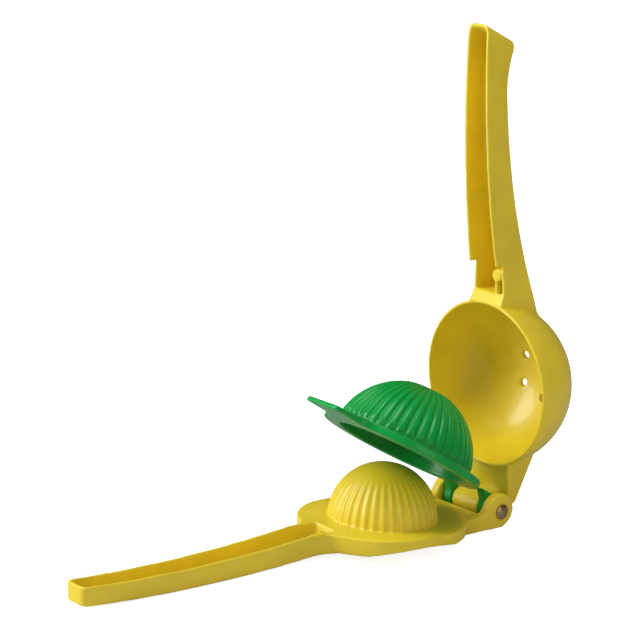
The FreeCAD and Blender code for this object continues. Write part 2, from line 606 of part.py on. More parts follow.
os.makedirs("parts", exist_ok=True)
for piece in pieces:
    piece.Shape.exportStep(os.path.join("parts", piece.Label + ".step"))
    box = piece.Shape.BoundBox
    print(piece.Label, "volume %.0f mm3" % piece.Shape.Volume,
          "box %.1f..%.1f %.1f..%.1f %.1f..%.1f"
          % (box.XMin, box.XMax, box.YMin, box.YMax, box.ZMin, box.ZMax))
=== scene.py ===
"""Visual model of the hinged lemon squeezer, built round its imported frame."""
import math
import json

import bpy
import numpy as np
from bpy.props import FloatProperty, FloatVectorProperty, IntProperty, PointerProperty
from mathutils import Matrix, Vector


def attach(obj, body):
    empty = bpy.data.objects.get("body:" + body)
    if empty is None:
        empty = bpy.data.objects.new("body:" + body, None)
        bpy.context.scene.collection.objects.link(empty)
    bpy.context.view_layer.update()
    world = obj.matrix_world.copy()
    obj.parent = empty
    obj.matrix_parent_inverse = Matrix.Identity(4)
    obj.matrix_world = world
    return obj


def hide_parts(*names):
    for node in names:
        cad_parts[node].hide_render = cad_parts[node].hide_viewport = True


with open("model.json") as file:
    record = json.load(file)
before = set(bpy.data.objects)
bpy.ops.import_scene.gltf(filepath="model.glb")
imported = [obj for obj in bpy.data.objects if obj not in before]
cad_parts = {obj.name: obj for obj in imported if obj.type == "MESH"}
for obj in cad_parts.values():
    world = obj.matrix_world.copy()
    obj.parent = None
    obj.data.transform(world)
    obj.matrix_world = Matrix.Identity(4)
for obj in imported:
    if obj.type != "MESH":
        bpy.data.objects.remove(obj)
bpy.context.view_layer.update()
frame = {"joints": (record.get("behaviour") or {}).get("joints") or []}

bl_info = {
    "name": "Lemon squeezer",
    "version": (1, 0, 0),
    "blender": (4, 5, 0),
    "location": "View3D > Sidebar > Squeezer",
    "description": "Builds the enamelled castings, the rivet and the studio of a hinged lemon squeezer",
    "category": "Add Mesh",
}

MM = 0.001
JUICE_HOLES = 5

# Exponent of the bowl's section, where 2 is an ellipse
FULLNESS = 2.22
HINGE = Vector(frame["joints"][0]["pos_m"])


# Fields: signed distances in millimetres on a grid of reach s, side y and height n
def soft_join(a, b, blend):
    """Union of two fields with a fillet of about the given size."""
    mix = np.clip(0.5 + 0.5 * (b - a) / blend, 0.0, 1.0)
    return b + (a - b) * mix - blend * mix * (1.0 - mix)


def soft_meet(a, b, blend):
    """Space that two fields share, its new edge rounded."""
    return -soft_join(-a, -b, blend)


def soft_carve(a, b, blend):
    """Field a less field b, the new edge rounded."""
    return -soft_join(-a, b, blend)


def smooth_step(low, high, x):
    """0 below low, 1 above high, and a smooth rise between."""
    t = np.clip((x - low) / (high - low), 0.0, 1.0)
    return t * t * (3.0 - 2.0 * t)


def sagging(s, start, end, bend):
    """Height of a shallow arc of the given radius that sags between two points."""
    t = (s - start[0]) / (end[0] - start[0])
    return start[1] + (end[1] - start[1]) * t - (s - start[0]) * (end[0] - s) / (2.0 * bend)


def full_bowl(s, y, n, across, deep):
    """Field of a bowl at the origin, round in plan and a little fuller than an ellipsoid."""
    scaled = ((np.hypot(s, y) / across) ** FULLNESS + (np.abs(n) / deep) ** FULLNESS) ** (1.0 / FULLNESS)
    slope = np.sqrt((s * s + y * y) / across ** 4 + n * n / deep ** 4)
    return scaled * (scaled - 1.0) / np.maximum(slope, 1e-6)


def grid(low, high, step):
    """Axes of a grid between two corners, shaped so that they broadcast."""
    axes = [np.arange(a, b + step, step, dtype=np.float32) for a, b in zip(low, high)]
    return axes[0][:, None, None], axes[1][None, :, None], axes[2][None, None, :]


def skin(field, low, step):
    """Quads round the negative part of a field: (points, faces)."""
    inside = field < 0.0
    cells = tuple(n - 1 for n in field.shape)
    count = np.zeros(cells, np.int8)
    corners = [(i, j, k) for i in (0, 1) for j in (0, 1) for k in (0, 1)]
    for i, j, k in corners:
        count += inside[i:i + cells[0], j:j + cells[1], k:k + cells[2]]
    active = np.argwhere((count > 0) & (count < 8))
    number = np.full(cells, -1, np.int32)
    number[tuple(active.T)] = np.arange(len(active), dtype=np.int32)
    values = {c: field[tuple((active + c).T)] for c in corners}
    total = np.zeros((len(active), 3))
    hits = np.zeros(len(active))
    for corner in corners:
        for axis in range(3):
            if corner[axis]:
                continue
            other = list(corner)
            other[axis] = 1
            a, b = values[corner], values[tuple(other)]
            crossing = (a < 0.0) != (b < 0.0)
            part = np.zeros(len(active))
            part[crossing] = a[crossing] / (a[crossing] - b[crossing])
            place = np.tile(np.array(corner, float), (len(active), 1))
            place[:, axis] = part
            total[crossing] += place[crossing]
            hits += crossing
    points = (active + total / hits[:, None]) * step + np.array(low)
    faces = []
    for axis in range(3):
        u, v = (axis + 1) % 3, (axis + 2) % 3
        first = [slice(1, -1)] * 3
        second = [slice(1, -1)] * 3
        first[axis] = slice(0, -1)
        second[axis] = slice(1, None)
        a, b = inside[tuple(first)], inside[tuple(second)]
        for wanted, flip in ((a & ~b, False), (~a & b, True)):
            spots = np.argwhere(wanted)
            spots[:, u] += 1
            spots[:, v] += 1
            ring = []
            for du, dv in ((-1, -1), (0, -1), (0, 0), (-1, 0)):
                cell = spots.copy()
                cell[:, u] += du
                cell[:, v] += dv
                ring.append(number[tuple(cell.T)])
            quad = np.stack(ring, axis=1)
            faces.append(quad[:, ::-1] if flip else quad)
    return points, np.concatenate(faces)


def mesh_object(name, points, faces):
    """Smooth-shaded object from arrays of points, in metres, and quads."""
    mesh = bpy.data.meshes.new(name)
    mesh.vertices.add(len(points))
    mesh.vertices.foreach_set("co", np.asarray(points, np.float32).ravel())
    mesh.loops.add(faces.size)
    mesh.loops.foreach_set("vertex_index", faces.astype(np.int32).ravel())
    mesh.polygons.add(len(faces))
    mesh.polygons.foreach_set("loop_start", np.arange(0, faces.size, 4, dtype=np.int32))
    mesh.polygons.foreach_set("use_smooth", np.ones(len(faces), bool))
    mesh.update(calc_edges=True)
    mesh.validate()
    obj = bpy.data.objects.new(name, mesh)
    bpy.context.scene.collection.objects.link(obj)
    return obj


def cast(name, field_of, corners, step, lean):
    """Casting from its field, stood on the hinge and turned up from the table by its lean."""
    low, high = corners
    s, y, n = grid(low, high, step)
    points, faces = skin(field_of(s, y, n), low, step)
    turned = np.empty_like(points)
    turned[:, 0] = points[:, 2] * math.sin(lean) - points[:, 0] * math.cos(lean)
    turned[:, 1] = points[:, 1]
    turned[:, 2] = points[:, 0] * math.sin(lean) + points[:, 2] * math.cos(lean)
    return mesh_object(name, turned * MM + np.array(HINGE), faces[:, ::-1])


def length(name, default, description):
    """Property for one size in millimetres."""
    return FloatProperty(name=name, default=default, description=description)


def angle(name, degrees, description):
    """Property for one angle, given in degrees."""
    return FloatProperty(name=name, default=math.radians(degrees), description=description, subtype="ANGLE")


class CastingSizes(bpy.types.PropertyGroup):
    """Sizes of the castings, in millimetres from the pin's middle, and the angles that they rest at."""

    mesh_step: FloatProperty(name="Mesh step", description="Edge of the grid that the castings are cut from",
                             default=0.6, min=0.2, max=2.0)
    centre: length("Centre", 53.4, "Pin to the middle of dome, cup and bowl")
    cup_angle: angle("Cup angle", 31.63, "Rest angle of the cup above the press arm")
    bowl_angle: angle("Bowl angle", 86.93, "Rest angle of the bowl arm above the press arm")
    plate_radius: length("Plate radius", 33.7, "Round ends of the press plate")
    plate_stretch: length("Plate stretch", 4.0, "Each round end from the middle")
    plate_hinge_top: length("Plate top, hinge", 0.9, "Top of the sloping plate at its hinge end")
    plate_handle_top: length("Plate top, handle", 4.1, "Top of the sloping plate at its handle end")
    plate_under: length("Plate underside", -3.8, "Underside of the plate at both ends")
    arch_middle: length("Arch middle", 60.0, "Crown of the arch under the plate")
    arch_height: length("Arch height", -1.6, "Height of that crown")
    arch_bend: length("Arch bend", 95.0, "Radius of that arch")
    dome_radius: length("Dome radius", 23.8, "Press dome over its flutes")
    dome_wall: length("Dome wall", 2.6, "Wall of the hollow dome")
    dome_height: length("Dome centre", 2.65, "Centre of the dome")
    flutes: IntProperty(name="Flutes", description="Flutes round the press dome", default=36)
    flute_depth: length("Flute depth", 0.6, "Depth of a flute at the foot of the dome")
    press_tip: length("Press tip", 210.5, "Reach of the press handle")
    press_root_half: length("Press root", 8.4, "Half the press handle's width beside the plate")
    press_tip_half: length("Press end", 6.3, "Half its width at its end")
    rim_start: length("Rim start", 99.0, "Where the press handle's rim starts")
    rim_height: length("Rim height", 4.4, "Height of the rim there")
    rim_tip_height: length("Rim at the end", 3.5, "Height of the rim at the end")
    rim_bend: length("Rim bend", 720.0, "Radius of the rim's sag")
    belly_start: length("Belly start", 96.0, "Where the press handle's belly starts")
    belly_height: length("Belly height", -4.9, "Underside of the press handle there")
    belly_tip_height: length("Belly at the end", -4.6, "Underside at the end")
    belly_bend: length("Belly bend", 716.0, "Radius of the belly")
    trough_start: length("Trough start", 84.5, "Inner end of the press handle's trough")
    wall: length("Wall", 1.5, "Side walls of both handles")
    web: length("Web", 2.4, "Web of both handles")
    mouth: length("Mouth", 6.1, "Mouth of the bowl")
    bowl_radius: length("Bowl radius", 36.1, "Inside of the bowl's mouth")
    bowl_depth: length("Bowl depth", 34.4, "Inside of the bowl to its pole")
    bowl_wall: length("Bowl wall", 2.45, "Wall of the bowl at its pole")
    lip: length("Lip", 1.3, "Lip of the bowl")
    hole_ring: length("Hole ring", 11.2, "Radius of the ring of juice holes")
    hole_radius: length("Hole radius", 1.7, "One juice hole")
    hole_turn: angle("Hole turn", 51.5, "First juice hole, turned from the handle")
    bowl_tip: length("Bowl tip", 213.0, "Reach of the bowl's handle")
    bowl_root_half: length("Bowl handle root", 9.0, "Half the bowl handle's width beside the land")
    bowl_tip_half: length("Bowl handle end", 6.3, "Half its width at its end")
    land_foot: length("Land foot", 90.5, "Where the sloping land beyond the mouth starts")
    land_end: length("Land end", 95.0, "End of that land, at the notch's floor")
    notch_end: length("Notch end", 107.8, "End of the notch that clears the cup's tab")
    notch_floor: length("Notch floor", 8.4, "Floor of that notch")
    cup_radius: length("Cup radius", 31.5, "Cup over its ribs")
    cup_wall: length("Cup wall", 2.4, "Wall of the cup")
    cup_height: length("Cup centre", 1.5, "Centre of the cup's dome")
    ribs: IntProperty(name="Ribs", description="Ribs round the cup", default=42)
    rib_depth: length("Rib depth", 0.9, "Depth of the grooves between the ribs")
    flange_radius: length("Flange radius", 36.7, "Flange of the cup")
    flange_under: length("Flange underside", 2.0, "Underside of the flange")
    flange_top: length("Flange top", 5.4, "Top of the flange")
    tab_tip: length("Tab tip", 107.0, "Reach of the finger tab")
    tab_half: length("Tab half", 10.4, "Half the finger tab's width")
    neck_front: length("Neck front", 8.0, "Front of the bowl arm's neck")
    barrel_half: length("Barrel half", 8.2, "Half the barrel's width")
    barrel_radius: length("Barrel radius", 5.6, "Barrel of the bowl arm")
    ear_inner: length("Ear inside", 8.5, "Inside of an ear, from the middle")
    ear_outer: length("Ear outside", 13.8, "Outside of an ear, from the middle")
    ear_radius: length("Ear radius", 6.0, "Round end of an ear")
    lug_inner: length("Lug inside", 14.1, "Inside of a lug, from the middle")
    lug_outer: length("Lug outside", 19.0, "Outside of a lug, from the middle")
    lug_radius: length("Lug radius", 7.6, "Round end of a lug")
    foot: length("Foot", -7.0, "Underside of the bars that carry the lugs")
    pin_radius: length("Pin radius", 2.5, "Shaft of the pin")
    head_radius: length("Head radius", 3.3, "Head of the rivet")
    head_seat: length("Head seat", 0.7, "Depth of the recess round a head")
    head_rise: length("Head rise", 1.0, "Dome of a head")


class FinishColours(bpy.types.PropertyGroup):
    """Colours of the enamels, the rivet and the studio."""

    yellow: FloatVectorProperty(name="Yellow enamel", description="Both arms", size=4, subtype="COLOR",
                                default=(0.86, 0.655, 0.028, 1.0), min=0.0, max=1.0)
    green: FloatVectorProperty(name="Green enamel", description="Inner cup", size=4, subtype="COLOR",
                               default=(0.002, 0.34, 0.052, 1.0), min=0.0, max=1.0)
    steel: FloatVectorProperty(name="Rivet", description="Hinge pin", size=4, subtype="COLOR",
                               default=(0.75, 0.56, 0.32, 1.0), min=0.0, max=1.0)
    floor: FloatProperty(name="Floor", description="Paleness of the studio floor",
                         default=0.70, min=0.0, max=1.0)


# Edge roundings that the castings share, in millimetres
CRISP = 0.5
EDGE = 0.9

# Clearances round the pin, in millimetres
LUG_FIT = 0.02
RUNNING_FIT = 0.06
RECESS_ROOM = 0.5


def between(s, places):
    """Straight runs through (reach, value) pairs."""
    reaches, values = zip(*places)
    return np.interp(s, reaches, values).astype(np.float32)


def bar(a, low, high):
    """Field of a slice between two values of one coordinate."""
    return np.maximum(low - a, a - high)


def pillar(s, y, reach, side, radius):
    """Field of an upright cylinder."""
    return np.hypot(s - reach, y - side) - radius


def round_pin(s, n, radius):
    """Field of a cylinder about the pin's axis."""
    return np.hypot(s, n) - radius


# Press arm: forms of its own, as (reach, height), (low, high) or one value in millimetres
STRIP_START = 60.0
PRESS_CORNER = 3.0
PLATE_FILLET = 6.0
BELLY_EASE = (76.0, 90.0)
BELLY_SPREAD = (1.0, 6.0)
TROUGH_RAKE = 0.35
TROUGH_CORNER = 2.5
TROUGH_FILLET = 2.0
PAD_REACH = (91.6, 98.0)
PAD_SIDE = -4.8
PAD_DROP = 0.3
PAD_CORNER = 1.2
PAD_EDGE = 0.8
RING_PLACE = (90.2, -4.4)
RING_RADIUS = 1.9
RING_BORE = 0.8
RING_FLOOR = 2.6
RING_DROP = 0.4
RING_EDGE = 0.6
BOSS_SINK = 1.0
DOME_FOOT = -1.0
LUG_CENTRE = (1.0, 0.6)
LUG_FILLET = 4.0
LUG_EDGE = 1.2
SHANK_REACH = (1.0, 29.6)
SHANK_TOP = 0.2
WEB_REACH = (8.0, 30.0)
WEB_TOP = -1.0
WEB_OVERLAP = 1.0

# Latitudes between which the flutes of the press dome run out
FLUTE_FADE = (math.radians(32.0), math.radians(62.0))


def press_outline(z, s, y):
    """Plan of plate and handle, and half the handle's width along it."""
    plate_end = z.centre + z.plate_stretch + z.plate_radius
    plate = np.hypot(np.maximum(np.abs(s - z.centre) - z.plate_stretch, 0.0), y) - z.plate_radius
    half = between(s, [(plate_end, z.press_root_half), (z.press_tip, z.press_tip_half)])
    strip = soft_meet(np.abs(y) - half, s - z.press_tip, PRESS_CORNER)
    strip = soft_meet(strip, STRIP_START - s, 1.0)
    return soft_join(plate, strip, PLATE_FILLET), half


def press_top(z, s):
    """Height of the plate's slope and of the handle's sagging rim."""
    plate_start = z.centre - z.plate_stretch - z.plate_radius
    plate_end = z.centre + z.plate_stretch + z.plate_radius
    slope = between(s, [(plate_start, z.plate_hinge_top), (plate_end, z.plate_handle_top),
                        (z.rim_start, z.rim_height)])
    rim = sagging(s, (z.rim_start, z.rim_height), (z.press_tip, z.rim_tip_height), z.rim_bend)
    return np.where(s > z.rim_start, rim, slope)


def press_under(z, s, y, half):
    """Height of the arch under the plate and of the handle's belly."""
    belly = sagging(s, (z.belly_start, z.belly_height), (z.press_tip - 1.0, z.belly_tip_height), z.belly_bend)
    belly = np.where(s > z.belly_start, belly, z.belly_height)
    arch = np.maximum(z.arch_height - (s - z.arch_middle) ** 2 / (2.0 * z.arch_bend), z.plate_under)
    inner, outer = BELLY_SPREAD
    over_handle = smooth_step(*BELLY_EASE, s) * (1.0 - smooth_step(half - inner, half + outer, np.abs(y)))
    return arch + (belly - arch) * over_handle


def press_trough(z, s, y, n, half, top, floor):
    """Open channel along the handle, its inner end raked."""
    raked = z.trough_start + TROUGH_RAKE * np.maximum(top - n, 0.0) - s
    trough = soft_meet(np.abs(y) - half + z.wall, raked, TROUGH_CORNER)
    trough = soft_meet(trough, s - z.press_tip + z.wall, TROUGH_CORNER)
    return soft_meet(trough, floor - n, TROUGH_FILLET)


def press_bosses(s, y, n, half, top, floor):
    """Pad and bored ring at the root of the channel."""
    pad = soft_meet(bar(s, *PAD_REACH), y - PAD_SIDE, PAD_CORNER)
    pad = soft_meet(soft_meet(pad, n - top + PAD_DROP, PAD_EDGE), bar(y, -half, 0.0), CRISP)
    bore = soft_meet(pillar(s, y, *RING_PLACE, RING_BORE), RING_FLOOR - n, CRISP)
    ring = soft_carve(pillar(s, y, *RING_PLACE, RING_RADIUS), bore, CRISP)
    ring = soft_meet(ring, n - top + RING_DROP, RING_EDGE)
    return soft_meet(soft_join(pad, ring, PAD_EDGE), floor - BOSS_SINK - n, CRISP)


def press_dome(z, s, y, n):
    """Outside of the fluted dome, and the hollow under it."""
    reach = s - z.centre
    from_middle = np.hypot(reach, y)
    up = n - z.dome_height
    fade = 1.0 - smooth_step(*FLUTE_FADE, np.arctan2(up, from_middle))
    wave = 0.5 + 0.5 * np.cos(np.arctan2(y, reach) * z.flutes)
    ball = np.sqrt(from_middle ** 2 + np.maximum(up, 0.0) ** 2) - z.dome_radius
    outside = ball + z.flute_depth * fade * (1.0 - wave)
    return soft_meet(outside, DOME_FOOT - n, CRISP), ball + z.dome_wall


def press_lugs(z, s, y, n):
    """Two lugs on their bars, down to the foot."""
    eye = np.hypot(s - LUG_CENTRE[0], n - LUG_CENTRE[1]) - z.lug_radius
    shank = np.maximum(bar(n, z.foot, SHANK_TOP), bar(s, *SHANK_REACH))
    lugs = soft_join(eye, shank, LUG_FILLET)
    lugs = soft_meet(lugs, bar(np.abs(y), z.lug_inner, z.lug_outer), LUG_EDGE)
    return np.maximum(lugs, z.foot - n)


def press_web(z, s, y, n):
    """Web between the two bars."""
    web = np.maximum(bar(s, *WEB_REACH), bar(n, z.foot, WEB_TOP))
    return soft_meet(web, np.abs(y) - z.lug_inner - WEB_OVERLAP, CRISP)


def press_field(s, y, n):
    """Press arm: plate, fluted hollow dome, hinge lugs and open channel handle."""
    z = bpy.context.scene.squeezer_sizes
    plan, half = press_outline(z, s, y)
    top = press_top(z, s)
    under = press_under(z, s, y, half)
    floor = under + z.web
    body = soft_meet(soft_meet(plan, n - top, CRISP), under - n, EDGE)
    body = soft_carve(body, press_trough(z, s, y, n, half, top, floor), CRISP)
    body = soft_join(body, press_bosses(s, y, n, half, top, floor), EDGE)
    dome, hollow = press_dome(z, s, y, n)
    body = soft_carve(soft_join(body, dome, EDGE), hollow, EDGE)
    body = soft_join(body, press_lugs(z, s, y, n), EDGE)
    body = soft_join(body, press_web(z, s, y, n), CRISP)
    body = soft_carve(body, round_pin(s, n, z.pin_radius + LUG_FIT), CRISP)
    recess = soft_meet(round_pin(s, n, z.head_radius + RECESS_ROOM),
                       z.lug_outer - z.head_seat - np.abs(y), CRISP)
    return np.maximum(soft_carve(body, recess, CRISP), z.foot - n)


# Bowl arm: forms of its own, as (reach, height), (low, high) or one value in millimetres
HANDLE_START = 70.0
HANDLE_ROOT = (92.0, 9.9)
HANDLE_SHOULDER = 108.0
HANDLE_WAIST = (130.0, 8.2)
FLARE = 3.0
FLARE_START = 91.0
FLARE_RUN = 4.0
FLARE_MOST = 1.6
FLARE_FADE = (8.0, 15.0)
BACK_START = (84.0, 29.0)
BACK_BEND = 312.0
HOOK_START = (184.0, 12.1)
HOOK_TIP = (203.6, 17.3)
HOOK_BEND = 45.0
HOOK_RISE = 0.7
END_LEAN = 0.5375
END_SLANT = 1.135
END_CORNER = 4.6
BACK_EDGE = 1.3
HOOK_EDGE = 1.9
HOOK_EDGE_REACH = (202.0, 211.0)
RIM_ROOT_HEIGHT = 4.6
RIM_TIP_HEIGHT = 1.0
RIM_BEND = 529.0
NECK_FOOT = -0.8
NECK_END = 35.0
NECK_BACK = (4.0, 14.8)
NECK_RISE = 0.5676
NECK_SLANT = 1.15
NECK_EDGE = 3.0
NOTCH_LEAD = 5.0
CHANNEL_EDGE = 1.5
CHANNEL_CORNER = 2.5
BOSS_PLACE = (103.3, -5.3)
BOSS_RADIUS = 2.8
BOSS_FACE = 7.7
BOSS_EDGE = 0.8
RIB_SIDE = -4.6
RIB_HALF = 0.8
RIB_FACE = 8.0
RIB_START = 94.0
ROOT_REACH = (-2.8, 5.6)
ROOT_RISE = 1.6
ROOT_FILLET = 1.5
BARREL_EDGE = 0.8
HOLE_SHIFT = -1.8
HOLE_EDGE = 0.6


def handle_back(s):
    """Height of the upper handle's back, up to the point of its hook and past it."""
    back = np.where(s < HOOK_START[0], sagging(s, BACK_START, HOOK_START, BACK_BEND),
                    sagging(s, HOOK_START, HOOK_TIP, HOOK_BEND))
    return np.where(s > HOOK_TIP[0], HOOK_TIP[1] + HOOK_RISE * (s - HOOK_TIP[0]), back)


def handle_bar(s, y, n, half, back, end):
    """Upper handle before its channel is cut, with the flare of the land at its root."""
    flare = FLARE * np.clip((FLARE_START - s) / FLARE_RUN, 0.0, FLARE_MOST) ** 2
    body = soft_meet(np.abs(y) - half - flare * (1.0 - smooth_step(*FLARE_FADE, n)), end, END_CORNER)
    body = soft_meet(body, n - back, BACK_EDGE + HOOK_EDGE * smooth_step(*HOOK_EDGE_REACH, s))
    return soft_meet(body, HANDLE_START - s, 1.0)


def bowl_neck(z, s, y, n):
    """Neck between the hinge and the bowl."""
    back = (n - NECK_BACK[1] - NECK_RISE * (s - NECK_BACK[0])) / NECK_SLANT
    neck = soft_meet(z.neck_front - n, NECK_FOOT - s, NECK_EDGE)
    neck = soft_meet(neck, back, NECK_EDGE)
    neck = soft_meet(neck, s - NECK_END, 1.0)
    return soft_meet(neck, np.abs(y) - z.ear_outer, CRISP)


def open_front(z, s, n):
    """Everything in front of the land, the notch for the cup's tab and the handle's rim."""
    land = between(s, [(z.land_foot, z.mouth), (z.land_end, z.notch_floor)])
    rim = sagging(s, (z.notch_end, RIM_ROOT_HEIGHT), (z.bowl_tip, RIM_TIP_HEIGHT), RIM_BEND)
    front = np.where(s < z.notch_end - NOTCH_LEAD, land, rim)
    notch = soft_meet(bar(s, z.land_end, z.notch_end), n - z.notch_floor, CRISP)
    return np.minimum(n - front, notch)


def handle_channel(z, s, y, n, half, back, end):
    """Open channel along the upper handle."""
    hollow = soft_meet(np.abs(y) - half + z.wall, n - back + z.web, CHANNEL_EDGE)
    hollow = soft_meet(hollow, z.land_end - s, 1.0)
    return soft_meet(hollow, end + z.wall, CHANNEL_CORNER)


def handle_boss(s, y, n, back):
    """Round boss with its rib at the root of the upper channel."""
    boss = soft_meet(pillar(s, y, *BOSS_PLACE, BOSS_RADIUS), BOSS_FACE - n, BOSS_EDGE)
    rib = np.maximum(np.abs(y - RIB_SIDE) - RIB_HALF, bar(s, RIB_START, BOSS_PLACE[0]))
    rib = soft_meet(rib, RIB_FACE - n, BOSS_EDGE)
    return soft_meet(soft_join(boss, rib, 1.0), n - back + 1.0, CRISP)


def bowl_barrel(z, s, y, n):
    """Barrel on the pin with its root in the neck."""
    root = np.maximum(bar(s, *ROOT_REACH), bar(n, 0.0, z.neck_front + ROOT_RISE))
    barrel = soft_join(round_pin(s, n, z.barrel_radius), root, ROOT_FILLET)
    return soft_meet(barrel, np.abs(y) - z.barrel_half, EDGE)


def bowl_field(s, y, n):
    """Bowl arm: bowl with juice holes, neck, hinge barrel and open channel handle."""
    z = bpy.context.scene.squeezer_sizes
    reach = s - z.centre
    height = n - z.mouth
    half = between(s, [HANDLE_ROOT, (HANDLE_SHOULDER, z.bowl_root_half), HANDLE_WAIST,
                       (z.bowl_tip, z.bowl_tip_half)])
    back = handle_back(s)
    end = (s - z.bowl_tip + (n - RIM_TIP_HEIGHT) * END_LEAN) / END_SLANT
    solid = full_bowl(reach, y, np.maximum(height, 0.0), z.bowl_radius + z.lip, z.bowl_depth + z.bowl_wall)
    solid = soft_join(solid, handle_bar(s, y, n, half, back, end), EDGE)
    solid = soft_join(solid, bowl_neck(z, s, y, n), EDGE)
    solid = soft_carve(solid, open_front(z, s, n), CRISP)
    solid = soft_carve(solid, handle_channel(z, s, y, n, half, back, end), CRISP)
    solid = soft_join(solid, handle_boss(s, y, n, back), BOSS_EDGE)
    solid = soft_carve(solid, full_bowl(reach, y, height, z.bowl_radius, z.bowl_depth), CRISP)
    solid = soft_join(solid, bowl_barrel(z, s, y, n), BARREL_EDGE)
    solid = soft_carve(solid, round_pin(s, n, z.pin_radius + RUNNING_FIT), CRISP)
    for number in range(JUICE_HOLES):
        turn = z.hole_turn + 2.0 * math.pi * number / JUICE_HOLES
        along = z.hole_ring * math.cos(turn) + HOLE_SHIFT
        across = z.hole_ring * math.sin(turn)
        solid = soft_carve(solid, pillar(reach, y, along, across, z.hole_radius), HOLE_EDGE)
    return solid


# Inner cup: forms of its own, as (low, high) or one value in millimetres
TAB_START = 60.0
TAB_CORNER = 2.5
TAB_FILLET = 6.0
TAB_DROP = 1.2
TAB_DROP_REACH = (86.0, 104.0)
RIB_EDGE = 0.7
EAR_ARM_RISE = 0.84
EAR_ARM_START = 5.6
EAR_ARM_REACH = (0.0, 22.0)
EAR_SLANT = 1.3
EAR_FILLET = 1.5
HOLLOW_EDGE = 0.8

# Latitudes between which the cup's ribs rise at the flange and run out at the pole
RIB_FOOT = (math.radians(6.5), math.radians(14.0))
RIB_HEAD = (math.radians(70.0), math.radians(86.0))

# Share of the pitch from rib to rib that a groove takes
GROOVE_SHARE = 0.62


def cup_flange(z, s, y, n):
    """Flange with the finger tab, whose top lies a little lower."""
    tab = soft_meet(np.abs(y) - z.tab_half, s - z.tab_tip, TAB_CORNER)
    tab = soft_meet(tab, TAB_START - s, 1.0)
    plan = soft_join(np.hypot(s - z.centre, y) - z.flange_radius, tab, TAB_FILLET)
    top = z.flange_top - TAB_DROP * smooth_step(*TAB_DROP_REACH, s)
    return soft_meet(soft_meet(plan, n - top, EDGE), z.flange_under - n, CRISP)


def cup_dome(z, s, y, n):
    """Outside of the ribbed dome, and the hollow under it."""
    reach = s - z.centre
    from_middle = np.hypot(reach, y)
    up = n - z.cup_height
    latitude = np.arctan2(up, from_middle)
    fade = smooth_step(*RIB_FOOT, latitude) * (1.0 - smooth_step(*RIB_HEAD, latitude))
    turns = np.arctan2(y, reach) * z.ribs / (2.0 * math.pi)
    groove = 1.0 - smooth_step(0.0, GROOVE_SHARE, 2.0 * np.abs(turns - np.round(turns)))
    ball = np.sqrt(from_middle ** 2 + up ** 2) - z.cup_radius
    outside = ball + z.rib_depth * (1.0 - fade * (1.0 - groove))
    return soft_meet(outside, z.flange_under - n, CRISP), ball + z.cup_wall


def cup_ears(z, s, y, n):
    """Two ears that carry the cup on the pin."""
    arm = soft_meet((EAR_ARM_RISE * (s - EAR_ARM_START) - n) / EAR_SLANT, n - z.flange_top, 1.0)
    arm = np.maximum(arm, bar(s, *EAR_ARM_REACH))
    ears = soft_join(round_pin(s, n, z.ear_radius), arm, EAR_FILLET)
    return soft_meet(ears, bar(np.abs(y), z.ear_inner, z.ear_outer), 1.0)


def cup_field(s, y, n):
    """Inner cup: ribbed dome, flange, finger tab and two hinge ears."""
    z = bpy.context.scene.squeezer_sizes
    dome, hollow = cup_dome(z, s, y, n)
    body = soft_join(cup_flange(z, s, y, n), dome, RIB_EDGE)
    body = soft_join(body, cup_ears(z, s, y, n), EAR_FILLET)
    body = soft_carve(body, hollow, HOLLOW_EDGE)
    return soft_carve(body, round_pin(s, n, z.pin_radius + RUNNING_FIT), CRISP)


def lathe(name, profile, segments):
    """Turned piece about the pin's axis from (radius, place along the pin), in millimetres."""
    turns = np.linspace(0.0, 2.0 * math.pi, segments, endpoint=False)
    points = [(r * math.cos(t), along, r * math.sin(t)) for r, along in profile for t in turns]
    faces = []
    for ring in range(len(profile) - 1):
        for k in range(segments):
            a, b = ring * segments + k, ring * segments + (k + 1) % segments
            faces.append((a, a + segments, b + segments, b))
    return mesh_object(name, np.array(points) * MM + np.array(HINGE), np.array(faces))


def rounded_head(radius, seat, depth, rise, sign, steps):
    """Profile points of a rivet head, from its seat past its rim to its crown."""
    points = [(radius, sign * seat)]
    ball = (radius ** 2 + rise ** 2) / (2.0 * rise)
    for step in range(steps + 1):
        r = radius * math.cos(math.pi / 2.0 * step / steps)
        points.append((max(r, 0.01), sign * (seat + depth + rise - ball + math.sqrt(ball ** 2 - r * r))))
    return points


